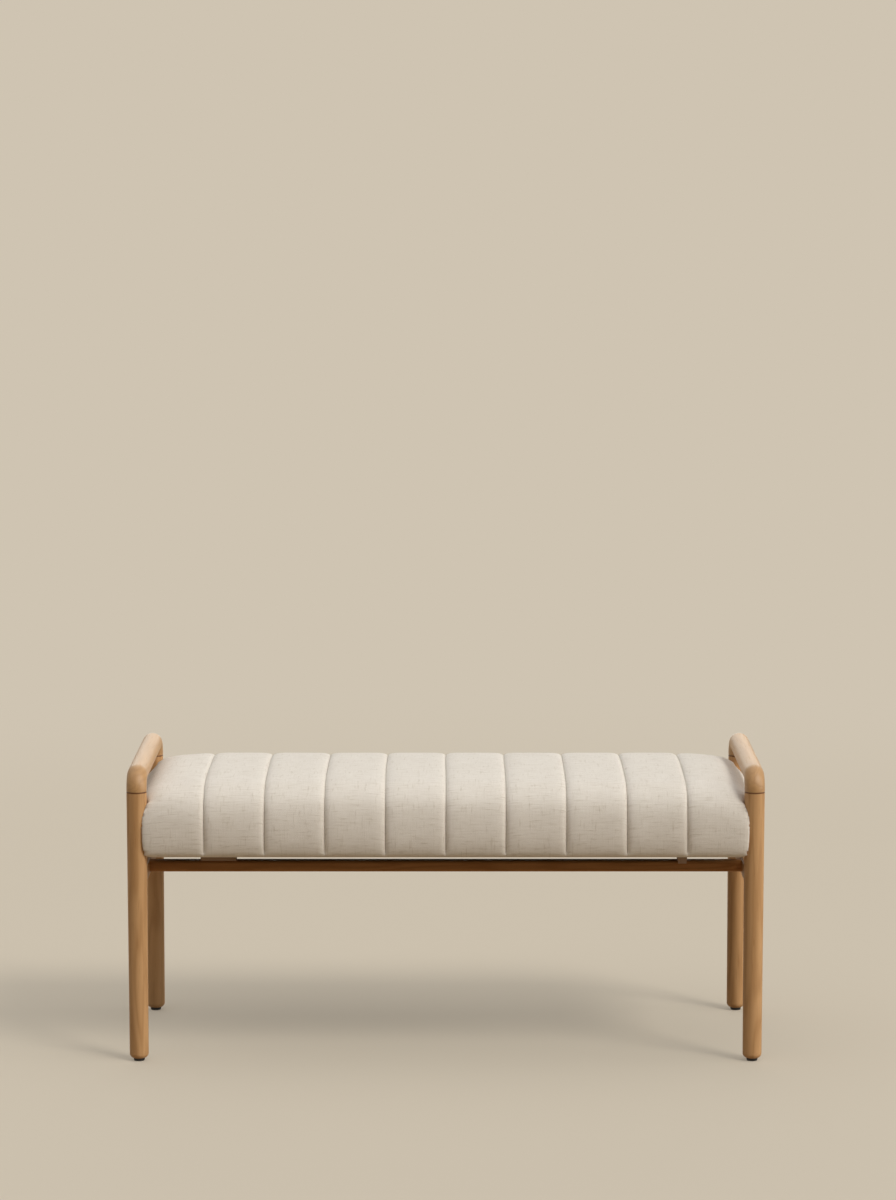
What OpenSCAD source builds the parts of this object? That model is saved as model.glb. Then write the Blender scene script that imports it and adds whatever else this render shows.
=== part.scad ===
// Upholstered bench: two end frames of turned legs with a bent-over arm rail each, two long rails
// between them, and a channel-quilted seat that sits on spacer blocks above the long rails.
// X runs along the bench, Y from the front (-) to the back (+), Z up from the floor. Millimetres.

/* [Frame] */
// Distance between the leg centres along the bench
leg_span_x = 1066; // [900:1:1400]
// Distance between the leg centres from front to back
leg_span_y = 380; // [330:1:460]
// Leg diameter where it meets the arm
leg_top_d = 35; // [32:0.5:42]
// Leg diameter just above the rounded foot
leg_foot_d = 33; // [28:0.5:40]
// Radius of the rounding round the foot
foot_round = 8.5; // [4:0.5:10]
// Small bevel on both sides of the joint between leg and arm
joint_bevel = 0.8; // [0.4:0.1:1.5]

/* [Arms] */
// Diameter of the arm rail
arm_d = 35; // [30:0.5:38]
// Radius of the arm's bend, on its centre line
elbow_radius = 24; // [22:0.5:40]
// Straight end of the arm below its bend
arm_stub = 2.4; // [1.5:0.1:12]
// Height of the arm's top above the cushion's crown
arm_rise = 27.5; // [4:0.5:60]

/* [Side rails] */
// Thickness of a side rail
side_rail_thick = 26; // [22:0.5:30]
// Height of a side rail's section
side_rail_tall = 30; // [26:0.5:44]
// Rounding of a side rail's long edges
side_rail_round = 4; // [2:0.5:8]

/* [Long rails] */
// Distance between the centres of the two long rails
rail_span = 150; // [110:1:260]
// Depth of a long rail's section
rail_deep = 24; // [20:0.5:30]
// Height of a long rail's section
rail_tall = 20; // [18:0.5:24]
// Rounding of a long rail's edges
rail_round = 5.5; // [2:0.5:7]
// How far a long rail's middle lies above the side rail's middle
rail_lift = 2; // [-1:0.5:2.5]
// How deep a long rail's end is let into the side rail
housing_deep = 5; // [3:0.5:8]

/* [Seat] */
// Height of the cushion's underside above the floor
underside_height = 360; // [300:1:430]
// Height of the spacer blocks between rails and seat
spacer_tall = 27.4; // [12:0.2:40]
// Height of the cushion from its underside to its crown
cushion_tall = 130; // [110:1:180]
// How far the cushion's front lies in front of the leg centres
front_reach = 23; // [21:0.5:30]
// How far the cushion's front corners lap over the legs
front_lap = 9; // [4:0.5:12]
// How far the cushion's ends bulge out past the leg centres
end_bulge = 20.5; // [12:0.5:30]
// Number of sewn channels
channels = 10; // [4:1:12]
// Depth of a seam below the channel's crown
seam_deep = 6.5; // [3:0.5:8]
// How far the sides swell out between their top and bottom edges
belly = 5; // [1:0.5:7]
// How far the rounding of the top edges reaches in over the top
top_round_deep = 55; // [35:1:65]
// Height of the rounding of the top edges
top_round_tall = 30; // [25:1:50]
// Rounding of the bottom edges
bottom_round = 10; // [8:0.5:14]
// Rise of the cushion's top towards its middle
crown_rise = 5; // [1:0.5:12]
// Thickness of fabric and wadding over the foam
wadding = 14; // [12:0.5:20]
// Thickness of the fabric turned under the board
hem_thick = 1.2; // [0.8:0.1:2]
// Width of the hem under the board
hem_wide = 28; // [18:1:40]
// Thickness of the seat board
board_thick = 15; // [12:0.5:21]
// Thickness of the dust cover
dust_thick = 0.6; // [0.4:0.1:1.5]

/* [Seat fixings] */
// Distance from the left legs to the middle of the long spacer blocks
block_from_leg = 134; // [113:1:380]
// Length of a spacer block along the rail
block_long = 63; // [30:1:100]
// Distance from the right legs to the middle of the short clips
clip_from_leg = 117.5; // [113:0.5:380]
// Length of a clip along the rail
clip_long = 17; // [15:0.5:40]
// How far a clip's lip hangs over the rail's outer face
clip_lip = 4.4; // [3:0.2:10]
// Thickness of a clip's lip
clip_lip_thick = 2.5; // [2:0.5:4]

/* [Fasteners] */
// Diameter of the machine screws
screw_d = 6; // [5:1:6]
// How deep the seat of a seat screw's head lies in the rail's underside
head_recess = 4; // [3.5:0.1:6]
// Diameter of a seat screw's head
seat_head_d = 11; // [10:0.5:12]
// Height of a seat screw's head
seat_head_tall = 3.5; // [2.5:0.1:3.5]
// Length of a rail bolt under its head
rail_bolt_long = 60; // [56:1:70]
// Diameter of a rail bolt's flat head
bolt_head_d = 16; // [13:0.5:17]
// Thickness of a rail bolt's flat head
bolt_head_tall = 2.5; // [2:0.5:3]
// Diameter of a barrel nut
barrel_d = 10; // [9:0.5:12]
// Length of a barrel nut
barrel_long = 13; // [12:0.5:14]
// Distance from the end of a long rail to its barrel nut
barrel_inset = 30; // [24:1:34]
// Diameter of a tee nut's flange
tee_flange_d = 18; // [15:0.5:20]
// Diameter of a tee nut's barrel
tee_barrel_d = 8; // [7.5:0.5:9]
// Diameter of an arm dowel
arm_dowel_d = 12; // [8:0.5:14]
// Length of an arm dowel
arm_dowel_long = 44; // [30:1:48]
// Diameter of a side rail dowel
side_dowel_d = 8; // [6:0.5:9]
// Length of a side rail dowel
side_dowel_long = 36; // [30:1:50]
// Distance between the two dowels of a side rail joint
side_dowel_pitch = 15; // [12:0.5:17]

/* [Glides] */
// Diameter of a glide where it meets the leg
glide_top_d = 20; // [17:0.5:22]
// Diameter of a glide on the floor
glide_floor_d = 18; // [14:0.5:20]
// Height of a glide
glide_tall = 4.5; // [3.5:0.5:8]
// Diameter of a glide's nail
nail_d = 2.4; // [2:0.1:3]
// Length of a glide's nail
nail_long = 20; // [14:1:30]

/* [Clearances] */
// Room round a dowel, bolt or nail in its hole, on the radius
hole_gap = 0.1; // [0.05:0.05:0.3]
// Room round a screw where it only passes through, on the radius
pass_gap = 0.3; // [0.2:0.05:0.5]
// Room left at the end of a hole
hole_end_gap = 0.5; // [0.3:0.1:1.5]
// Glue room between the side rail's shaped end and the leg
glue_gap = 0.15; // [0.1:0.05:0.3]
// Room between the cushion and the wood beside it
cushion_gap = 0.3; // [0.2:0.1:1]

/* [Hidden] */
$fn = 64;

// Places that the pieces share
leg_x = leg_span_x / 2;
leg_y = leg_span_y / 2;
rail_y = rail_span / 2;
crown_z = underside_height + cushion_tall;
arm_z = crown_z + arm_rise - arm_d / 2;
joint_z = arm_z - elbow_radius - arm_stub;
rail_top = underside_height - dust_thick - spacer_tall;
rail_mid = rail_top - rail_tall / 2;
side_rail_mid = rail_mid - rail_lift;
side_rail_outer = leg_x + side_rail_thick / 2;
side_rail_inner = leg_x - side_rail_thick / 2;
rail_end = side_rail_inner + housing_deep;
block_x = block_from_leg - leg_x;
clip_x = leg_x - clip_from_leg;

// How far a cut runs out past the surface that it opens
cut_past = 1;

// Leg radius at a height, on the straight taper
function leg_radius(z) =
    (leg_foot_d + (leg_top_d - leg_foot_d) * (z - glide_tall) / (joint_z - glide_tall)) / 2;

// Cushion: the seams divide the front, which ends a little past the inner side of each leg
cushion_y = leg_y + front_reach;
front_half = leg_x - leg_top_d / 2 + front_lap;
end_half = leg_x + end_bulge;
channel_pitch = 2 * front_half / channels;
leg_room = leg_top_d / 2 + cushion_gap;
// Height of the cushion's widest line above its underside
waist_rise = 40;
waist_z = underside_height + waist_rise;
// Length of the run in which each end rounds down, and what it adds to the top rounding's height
end_run = 113;
end_round_extra = 30;
// Powers of the curves by which the ends round off: over the top, under the bottom and in plan
end_top_power = 2.7;
end_low_power = 16;
end_plan_power = 4;
// How far the end swells towards the leg on each side of it
end_side_swell = 4;
// The front's last stretch turns in towards the leg: by this share of its step, this sharply
front_turn_share = 0.55;
front_turn_power = 60;
// Most of a round edge, as a share of the section's height
top_round_share = 0.7;
bottom_round_share = 0.2;
// Share of the crown's rise that is reached halfway in from the top rounding
crown_half_share = 0.75;
// A seam draws the sides in less than the top, and most of its depth lies close to the thread
side_seam_share = 0.8;
seam_sharp_power = 6;
seam_sharp_share = 0.85;
// Sections round the cushion's ends: distances from the front's end, then shares of the bulge
front_turn_steps = [16, 5, 0];
end_steps = [0.02, 0.35, 0.62, 0.82, 0.93, 0.985];

// Seat board and what lies under and over it
board_end_inset = 24;
board_side_inset = 16;
board_round = 8;
board_z = underside_height + hem_thick;
board_top = board_z + board_thick;
board_x = end_half - board_end_inset;
board_y = cushion_y - board_side_inset;
leg_wall = 8;
corner_room = leg_room + leg_wall;
dust_inset = 12;
foam_x = end_half - wadding;
foam_y = cushion_y - wadding;
foam_top = crown_z - wadding;
foam_end_radius = 90;
foam_side_radius = 45;
foam_leg_wall = 20;
foam_corner = leg_room + foam_leg_wall;
block_round = 2;
clip_round = 1.2;

// Fastener details
socket_d = 4.6;
socket_deep = 2.2;
socket_floor = 0.5;
dowel_bevel = 1;
seat_head_seat = rail_top - rail_tall + head_recess;
seat_tip_gap = 0.2;
seat_screw_long = board_top - seat_tip_gap - seat_head_seat;
bolt_head_sunk = 0.5;
bolt_recess = bolt_head_tall + bolt_head_sunk;
barrel_slot_wide = 1.2;
barrel_slot_deep = 1.5;
tee_flange_tall = 1.5;
tee_barrel_tall = 9;
nail_head_d = 6.5;
nail_head_tall = 1;
nail_head_z = 1.2;
side_dowel_short = 2;
side_dowel_end = leg_y - side_dowel_short;

oak = [0.80, 0.62, 0.42];
oak_shade = [0.72, 0.54, 0.36];
dowel_wood = [0.84, 0.72, 0.55];
dark_wood = [0.25, 0.18, 0.13];
plywood = [0.83, 0.71, 0.52];
linen = [0.86, 0.83, 0.77];
foam_yellow = [0.93, 0.88, 0.70];
black_cloth = [0.12, 0.12, 0.12];
black_plastic = [0.08, 0.08, 0.08];
brown_plastic = [0.33, 0.24, 0.19];
zinc = [0.72, 0.73, 0.75];

// Shapes used by several pieces

module at_legs() {
    for (sx = [-1, 1], sy = [-1, 1])
        translate([sx * leg_x, sy * leg_y, 0]) children();
}

// The four places where the seat is screwed to the long rails
module at_seat_screws() {
    for (x = [block_x, clip_x], sy = [-1, 1])
        translate([x, sy * rail_y, 0]) children();
}

// Children drawn along +Z from the middle of the bench, laid along the long rails to both sides
module at_rail_ends() {
    for (sx = [-1, 1], sy = [-1, 1])
        translate([0, sy * rail_y, rail_mid]) mirror_side(sx) rotate([0, 90, 0]) children();
}

module mirror_side(sx) {
    if (sx > 0) children();
    else mirror([1, 0, 0]) children();
}

// Rectangle with round corners
module round_rect(w, h, r) {
    square([w - 2 * r, h], center = true);
    square([w, h - 2 * r], center = true);
    for (sx = [-1, 1], sy = [-1, 1])
        translate([sx * (w / 2 - r), sy * (h / 2 - r)]) circle(r);
}

// Wooden dowel standing on its middle, with bevelled ends
module dowel(d, long) {
    r = d / 2;
    end = long / 2;
    rotate_extrude() polygon([
        [0, -end], [r - dowel_bevel, -end], [r, dowel_bevel - end],
        [r, end - dowel_bevel], [r - dowel_bevel, end], [0, end]
    ]);
}

// Screw with a flat socket head: the head stands below z = 0 and the shank above it
module socket_screw(d, long, head_d, head_tall) {
    difference() {
        union() {
            cylinder(d = d, h = long);
            translate([0, 0, -head_tall]) cylinder(d = head_d, h = head_tall);
        }
        translate([0, 0, -head_tall - cut_past])
            cylinder(d = socket_d, h = min(socket_deep, head_tall - socket_floor) + cut_past, $fn = 6);
    }
}

// Legs: a turned taper with a rounded foot, a dowel hole on top and two dowel holes for the side rail

function leg_outline() =
    let (foot_r = leg_foot_d / 2, steps = 6)
    [
        [0, glide_tall],
        for (i = [0:steps])
            let (a = -90 + 90 * i / steps)
            [foot_r - foot_round + foot_round * cos(a), glide_tall + foot_round + foot_round * sin(a)],
        [leg_top_d / 2, joint_z - joint_bevel],
        [leg_top_d / 2 - joint_bevel, joint_z],
        [0, joint_z]
    ];

module side_dowel_holes() {
    for (sy = [-1, 1], dz = [-1, 1])
        translate([0, sy * (side_dowel_end + hole_end_gap), side_rail_mid + dz * side_dowel_pitch / 2])
            rotate([sy * 90, 0, 0])
                cylinder(d = side_dowel_d + 2 * hole_gap, h = side_dowel_long + 2 * hole_end_gap);
}

module arm_dowel_hole() {
    translate([0, 0, joint_z - arm_dowel_long / 2 - hole_end_gap])
        cylinder(d = arm_dowel_d + 2 * hole_gap, h = arm_dowel_long + 2 * hole_end_gap);
}

module leg(sx, sy) {
    color(oak) difference() {
        translate([sx * leg_x, sy * leg_y, 0]) rotate_extrude() polygon(leg_outline());
        translate([sx * leg_x, sy * leg_y, 0]) arm_dowel_hole();
        translate([sx * leg_x, 0, 0]) side_dowel_holes();
        translate([sx * leg_x, sy * leg_y, 0])
            cylinder(
                d = nail_d + 2 * hole_gap,
                h = nail_head_z + nail_head_tall + nail_long + hole_end_gap
            );
    }
}

module leg_front_left() leg(-1, -1);
module leg_front_right() leg(1, -1);
module leg_back_left() leg(-1, 1);
module leg_back_right() leg(1, 1);

// Arms: one round bar that turns down into both legs of its end frame

module arm_half(r, stub, bevel) {
    bend_y = leg_y - elbow_radius;
    translate([0, bend_y, arm_z - elbow_radius]) rotate([90, 0, 90])
        rotate_extrude(angle = 90) translate([elbow_radius, 0]) circle(r);
    translate([0, leg_y, arm_z - elbow_radius - stub + bevel]) cylinder(r = r, h = stub - bevel);
    if (bevel > 0)
        translate([0, leg_y, arm_z - elbow_radius - stub]) cylinder(r1 = r - bevel, r2 = r, h = bevel);
}

module arm_form(r, stub, bevel) {
    translate([0, 0, arm_z]) rotate([90, 0, 0])
        cylinder(r = r, h = leg_span_y - 2 * elbow_radius, center = true);
    arm_half(r, stub, bevel);
    mirror([0, 1, 0]) arm_half(r, stub, bevel);
}

module arm(sx) {
    color(oak) translate([sx * leg_x, 0, 0]) difference() {
        arm_form(arm_d / 2, arm_stub, joint_bevel);
        for (sy = [-1, 1])
            translate([0, sy * leg_y, 0]) arm_dowel_hole();
    }
}

module arm_left() arm(-1);
module arm_right() arm(1);

// Side rails: between a front and a back leg, with ends shaped to the round legs

module side_rail(sx) {
    color(oak_shade) translate([sx * leg_x, 0, 0]) difference() {
        translate([0, 0, side_rail_mid]) rotate([90, 0, 0])
            linear_extrude(height = leg_span_y, center = true)
                round_rect(side_rail_thick, side_rail_tall, side_rail_round);
        for (sy = [-1, 1])
            translate([0, sy * leg_y, glide_tall])
                cylinder(
                    r1 = leg_radius(glide_tall) + glue_gap,
                    r2 = leg_radius(joint_z) + glue_gap,
                    h = joint_z - glide_tall
                );
        side_dowel_holes();
        for (sy = [-1, 1])
            translate([0, sy * rail_y, rail_mid]) mirror_side(sx) {
                translate([-side_rail_thick / 2 - cut_past, 0, 0]) rotate([90, 0, 90])
                    linear_extrude(height = housing_deep + cut_past) round_rect(
                        rail_deep + 2 * hole_gap,
                        rail_tall + 2 * hole_gap,
                        rail_round + hole_gap
                    );
                rotate([0, 90, 0])
                    cylinder(d = screw_d + 2 * pass_gap, h = side_rail_thick + 2 * cut_past, center = true);
                translate([side_rail_thick / 2 - bolt_recess, 0, 0]) rotate([0, 90, 0])
                    cylinder(d = bolt_head_d + 2 * pass_gap, h = bolt_recess + cut_past);
            }
    }
}

module side_rail_left() side_rail(-1);
module side_rail_right() side_rail(1);

// Long rails: let into the side rails and drawn tight by a bolt and a barrel nut at each end

module long_rail(sy) {
    color(oak_shade) difference() {
        translate([0, sy * rail_y, rail_mid]) rotate([90, 0, 90])
            linear_extrude(height = 2 * rail_end, center = true)
                round_rect(rail_deep, rail_tall, rail_round);
        at_rail_ends()
            translate([0, 0, side_rail_outer - bolt_recess - rail_bolt_long - hole_end_gap])
                cylinder(d = screw_d + 2 * pass_gap, h = rail_bolt_long);
        barrel_nut_holes();
        at_seat_screws() {
            translate([0, 0, rail_mid - rail_tall])
                cylinder(d = screw_d + 2 * pass_gap, h = 2 * rail_tall);
            translate([0, 0, rail_mid - rail_tall])
                cylinder(d = seat_head_d + 2 * pass_gap, h = seat_head_seat - rail_mid + rail_tall);
        }
    }
}

module rail_front() long_rail(-1);
module rail_back() long_rail(1);

// Dowels, bolts and nuts that hold the frame together

module arm_dowels() {
    color(dowel_wood) at_legs() translate([0, 0, joint_z]) dowel(arm_dowel_d, arm_dowel_long);
}

module side_rail_dowels() {
    color(dowel_wood) for (sx = [-1, 1], sy = [-1, 1], dz = [-1, 1])
        translate([
            sx * leg_x,
            sy * (side_dowel_end - side_dowel_long / 2),
            side_rail_mid + dz * side_dowel_pitch / 2
        ]) rotate([90, 0, 0]) dowel(side_dowel_d, side_dowel_long);
}

module rail_bolts() {
    color(zinc) for (sx = [-1, 1], sy = [-1, 1])
        translate([sx * (side_rail_outer - bolt_recess), sy * rail_y, rail_mid])
            rotate([0, -sx * 90, 0]) socket_screw(screw_d, rail_bolt_long, bolt_head_d, bolt_head_tall);
}

module barrel_nut_holes() {
    for (sx = [-1, 1], sy = [-1, 1])
        translate([sx * (rail_end - barrel_inset), sy * rail_y, rail_mid - rail_tall])
            cylinder(d = barrel_d + 2 * hole_gap, h = rail_tall + barrel_long / 2 + hole_end_gap);
}

module barrel_nuts() {
    color(zinc) for (sx = [-1, 1], sy = [-1, 1])
        translate([sx * (rail_end - barrel_inset), sy * rail_y, rail_mid]) difference() {
            cylinder(d = barrel_d, h = barrel_long, center = true);
            rotate([0, 90, 0])
                cylinder(d = screw_d + 2 * hole_gap, h = barrel_d + 2 * cut_past, center = true);
            translate([0, 0, -barrel_long / 2])
                cube([barrel_d + 2 * cut_past, barrel_slot_wide, 2 * barrel_slot_deep], center = true);
        }
}

// Spacer blocks and clips: they carry the seat above the long rails

module seat_screw_bore() {
    translate([0, 0, rail_top - rail_tall])
        cylinder(d = screw_d + 2 * pass_gap, h = rail_tall + spacer_tall + cut_past);
}

module spacer_block(sy) {
    color(dark_wood) difference() {
        translate([block_x, sy * rail_y, rail_top])
            linear_extrude(height = spacer_tall) round_rect(block_long, rail_deep, block_round);
        translate([block_x, sy * rail_y, 0]) seat_screw_bore();
    }
}

module seat_clip(sy) {
    lip_in = rail_deep / 2 + hole_gap;
    lip_out = lip_in + clip_lip_thick;
    color(brown_plastic) mirror([0, sy < 0 ? 1 : 0, 0]) translate([clip_x, rail_y, 0]) difference() {
        union() {
            translate([0, (lip_out - rail_deep / 2) / 2, rail_top])
                linear_extrude(height = spacer_tall)
                    round_rect(clip_long, lip_out + rail_deep / 2, clip_round);
            translate([-clip_long / 2 + clip_round, lip_in, rail_top - clip_lip])
                cube([clip_long - 2 * clip_round, clip_lip_thick, clip_lip + spacer_tall / 2]);
        }
        seat_screw_bore();
    }
}

module spacer_block_front() spacer_block(-1);
module spacer_block_back() spacer_block(1);
module seat_clip_front() seat_clip(-1);
module seat_clip_back() seat_clip(1);

// Seat board, notched at its corners for the legs; grow moves the whole outline out or in
module seat_plan(grow) {
    notch = corner_room - grow;
    far = leg_y;
    difference() {
        round_rect(2 * (board_x + grow), 2 * (board_y + grow), board_round);
        for (sx = [-1, 1], sy = [-1, 1])
            translate([sx * (leg_x - notch + far / 2), sy * (leg_y - notch + far / 2)])
                square(far, center = true);
    }
}

module seat_board() {
    color(plywood) difference() {
        translate([0, 0, board_z]) linear_extrude(height = board_thick) seat_plan(0);
        at_seat_screws() {
            translate([0, 0, board_z - cut_past])
                cylinder(d = tee_barrel_d + 2 * hole_gap, h = board_thick + 2 * cut_past);
            translate([0, 0, board_top - tee_flange_tall - hole_gap])
                cylinder(d = tee_flange_d + 2 * hole_gap, h = board_thick);
        }
    }
}

module t_nuts() {
    color(zinc) at_seat_screws() translate([0, 0, board_top - tee_flange_tall - hole_gap]) difference() {
        union() {
            cylinder(d = tee_flange_d, h = tee_flange_tall);
            translate([0, 0, -tee_barrel_tall]) cylinder(d = tee_barrel_d, h = tee_barrel_tall);
        }
        translate([0, 0, -tee_barrel_tall - cut_past])
            cylinder(d = screw_d + 2 * hole_gap, h = tee_barrel_tall + tee_flange_tall + 2 * cut_past);
    }
}

module seat_screws() {
    color(zinc) at_seat_screws() translate([0, 0, seat_head_seat])
        socket_screw(screw_d, seat_screw_long, seat_head_d, seat_head_tall);
}

module dust_cover() {
    color(black_cloth) difference() {
        translate([0, 0, underside_height - dust_thick])
            linear_extrude(height = dust_thick) seat_plan(-dust_inset);
        at_seat_screws()
            translate([0, 0, underside_height - dust_thick - cut_past])
                cylinder(d = screw_d + 2 * pass_gap, h = dust_thick + 2 * cut_past);
    }
}

// Foam: rounded along both directions, with a square notch at each leg

module foam_section(half, corner, grow) {
    r = corner + grow;
    w = 2 * (half + grow);
    h = foam_top + grow - board_top;
    translate([-w / 2, board_top]) square([w, h - r]);
    translate([-w / 2 + r, board_top]) square([w - 2 * r, h]);
    for (s = [-1, 1])
        translate([s * (w / 2 - r), board_top + h - r]) circle(r);
}

module foam_form(grow) {
    long = 3 * end_half;
    difference() {
        intersection() {
            rotate([90, 0, 90]) linear_extrude(height = long, center = true)
                foam_section(foam_y, foam_side_radius, grow);
            rotate([90, 0, 0]) linear_extrude(height = long, center = true)
                foam_section(foam_x, foam_end_radius, grow);
        }
        at_legs() translate([0, 0, board_top + cushion_tall / 2])
            cube([2 * (foam_corner - grow), 2 * (foam_corner - grow), 2 * cushion_tall], center = true);
    }
}

module foam_core() {
    color(foam_yellow) foam_form(0);
}

// Cushion: one closed section after another along X. Each seam draws the section in, and towards
// the ends the section drops, rounds off and steps in behind the legs.

// Share of the way from the straight run to the cushion's end, 0 to 1
function end_share(x) = max(0, (abs(x) - (end_half - end_run)) / end_run);

// Seam depth at a place: full at a seam, nearly none across the channel's middle
function seam_draw(x) =
    abs(x) > front_half - channel_pitch / 2 ? 0 :
    let (across = (x + front_half) / channel_pitch, side = abs(2 * (across - floor(across)) - 1))
    seam_deep * (seam_sharp_share * pow(side, seam_sharp_power) + (1 - seam_sharp_share) * pow(side, 2));

// Half depth of the section: full in front of the legs, then rounding off between them
function section_y(x) =
    abs(x) <= front_half
    ? cushion_y - (front_reach - leg_room) * front_turn_share * pow(abs(x) / front_half, front_turn_power)
    : let (e = (abs(x) - front_half) / (end_half - front_half))
      (leg_y - leg_room + end_side_swell) * pow(1 - pow(e, end_plan_power), 1 / end_plan_power);

function section_top(x) =
    waist_z + (crown_z - crown_rise - waist_z) * sqrt(1 - pow(end_share(x), end_top_power));

function section_bottom(x) =
    waist_z - waist_rise * sqrt(1 - pow(end_share(x), end_low_power));

function section_crown(x) = crown_rise * sqrt(1 - end_share(x));

// Half a section from its underside to its top: y, z, and how far a seam moves it in y and z
function half_section(x) =
    let (
        y = section_y(x) - belly,
        top = section_top(x),
        low = section_bottom(x),
        rb = min(bottom_round, bottom_round_share * (top - low)),
        tall = min(top_round_tall + end_round_extra * end_share(x), top_round_share * (top - low)),
        inner = y - top_round_deep
    )
    [
        [y - rb, low, 0, 0],
        [y, low + rb, side_seam_share, 0],
        [y + belly, waist_z, side_seam_share, 0],
        [y, top - tall, side_seam_share, 0],
        for (a = [30, 60, 90])
            [inner + top_round_deep * cos(a), top - tall + tall * sin(a), side_seam_share * cos(a), sin(a)],
        [inner / 2, top + crown_half_share * section_crown(x), 0, 1]
    ];

function section(x) =
    let (half = half_section(x), d = seam_draw(x), n = len(half))
    concat(
        [for (p = half) [x, p[0] - d * p[2], p[1] - d * p[3]]],
        [[x, 0, section_top(x) + section_crown(x) - d]],
        [for (i = [n - 1:-1:0]) [x, -half[i][0] + d * half[i][2], half[i][1] - d * half[i][3]]]
    );

// Places of the sections: five to a channel, and closer together round the ends
inner_places = [
    for (k = [1:channels - 2], t = [0, 0.06, 0.25, 0.75, 0.94])
        -front_half + (k + t) * channel_pitch
];
end_places = concat(
    [for (t = [0, 0.06, 0.25, 0.6]) front_half - channel_pitch * (1 - t)],
    [for (step = front_turn_steps) front_half - step],
    [for (e = end_steps) front_half + (end_half - front_half) * e]
);
places = concat(
    [for (i = [len(end_places) - 1:-1:1]) -end_places[i]],
    inner_places,
    end_places
);

module cushion_form() {
    rings = [for (x = places) section(x)];
    m = len(rings);
    n = len(rings[0]);
    points = [for (ring = rings) each ring];
    walls = [
        for (i = [0:m - 2], j = [0:n - 1])
            let (a = i * n + j, b = i * n + (j + 1) % n, c = a + n, d = b + n)
            each [[a, c, b], [b, c, d]]
    ];
    caps = [
        for (j = [1:n - 2])
            each [[0, j, j + 1], [(m - 1) * n, (m - 1) * n + j + 1, (m - 1) * n + j]]
    ];
    polyhedron(points = points, faces = concat(walls, caps), convexity = 6);
}

// Cover: fabric and wadding sewn into channels, open underneath, with a hem turned under the board
module cushion_cover() {
    color(linen) difference() {
        cushion_form();
        at_legs() translate([0, 0, underside_height - cut_past])
            cylinder(r = leg_room, h = cushion_tall + 2 * cut_past);
        for (sx = [-1, 1])
            translate([sx * leg_x, 0, 0]) arm_form(arm_d / 2 + cushion_gap, arm_stub, 0);
        foam_form(cushion_gap);
        translate([0, 0, board_z])
            linear_extrude(height = board_thick + cushion_gap) seat_plan(cushion_gap);
        translate([0, 0, underside_height - cut_past])
            linear_extrude(height = hem_thick + 2 * cut_past) seat_plan(-hem_wide);
    }
}

// Glides under the legs

module glide(sx, sy) {
    color(black_plastic) translate([sx * leg_x, sy * leg_y, 0]) difference() {
        cylinder(d1 = glide_floor_d, d2 = glide_top_d, h = glide_tall);
        translate([0, 0, -cut_past]) cylinder(d = nail_d + 2 * hole_gap, h = glide_tall + 2 * cut_past);
        translate([0, 0, -cut_past])
            cylinder(d = nail_head_d + 2 * pass_gap, h = nail_head_z + nail_head_tall + cut_past);
    }
}

module glide_front_left() glide(-1, -1);
module glide_front_right() glide(1, -1);
module glide_back_left() glide(-1, 1);
module glide_back_right() glide(1, 1);

module glide_nails() {
    color(zinc) at_legs() {
        translate([0, 0, nail_head_z]) cylinder(d = nail_head_d, h = nail_head_tall);
        translate([0, 0, nail_head_z + nail_head_tall]) cylinder(d = nail_d, h = nail_long);
    }
}

leg_front_left();
leg_front_right();
leg_back_left();
leg_back_right();
arm_left();
arm_right();
side_rail_left();
side_rail_right();
rail_front();
rail_back();
arm_dowels();
side_rail_dowels();
rail_bolts();
barrel_nuts();
spacer_block_front();
spacer_block_back();
seat_clip_front();
seat_clip_back();
seat_board();
foam_core();
cushion_cover();
dust_cover();
seat_screws();
t_nuts();
glide_front_left();
glide_front_right();
glide_back_left();
glide_back_right();
glide_nails();
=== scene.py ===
"""Upholstered bench: a channel-quilted seat, turned legs and bent arm rails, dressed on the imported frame."""

import math
from contextlib import contextmanager

import bmesh
import bpy
import numpy as np
from bpy.props import FloatProperty, FloatVectorProperty, IntProperty, PointerProperty
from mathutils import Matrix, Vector, noise


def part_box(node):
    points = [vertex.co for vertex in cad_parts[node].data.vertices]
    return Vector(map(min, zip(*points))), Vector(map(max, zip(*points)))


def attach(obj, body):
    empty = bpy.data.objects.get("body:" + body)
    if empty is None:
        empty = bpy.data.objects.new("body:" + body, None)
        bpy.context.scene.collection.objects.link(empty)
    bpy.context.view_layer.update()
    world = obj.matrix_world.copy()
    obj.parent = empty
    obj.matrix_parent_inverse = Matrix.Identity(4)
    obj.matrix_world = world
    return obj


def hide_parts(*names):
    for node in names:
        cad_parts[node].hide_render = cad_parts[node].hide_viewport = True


bl_info = {
    "name": "Upholstered Bench",
    "version": (1, 0, 0),
    "blender": (4, 5, 0),
    "location": "View3D > Sidebar > Bench",
    "description": "Dresses a channel-quilted bench: linen cover, foam, dust cover, oiled oak and a stage",
    "category": "Object",
}

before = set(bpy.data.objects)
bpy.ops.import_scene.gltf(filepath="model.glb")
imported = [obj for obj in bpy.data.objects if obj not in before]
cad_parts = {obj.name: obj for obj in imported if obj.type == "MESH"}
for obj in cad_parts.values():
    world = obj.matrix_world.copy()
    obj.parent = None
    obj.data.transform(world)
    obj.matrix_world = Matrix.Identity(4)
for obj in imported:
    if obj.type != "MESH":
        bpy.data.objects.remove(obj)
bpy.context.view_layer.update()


def middle(node, axis):
    """The middle of a node's box along one axis."""
    low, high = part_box(node)
    return (low[axis] + high[axis]) / 2


MM = 0.001
LEG_X = middle("leg_front_right", 0)
LEG_Y = middle("leg_back_right", 1)
LEG_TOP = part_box("leg_front_right")[1][2]
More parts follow.
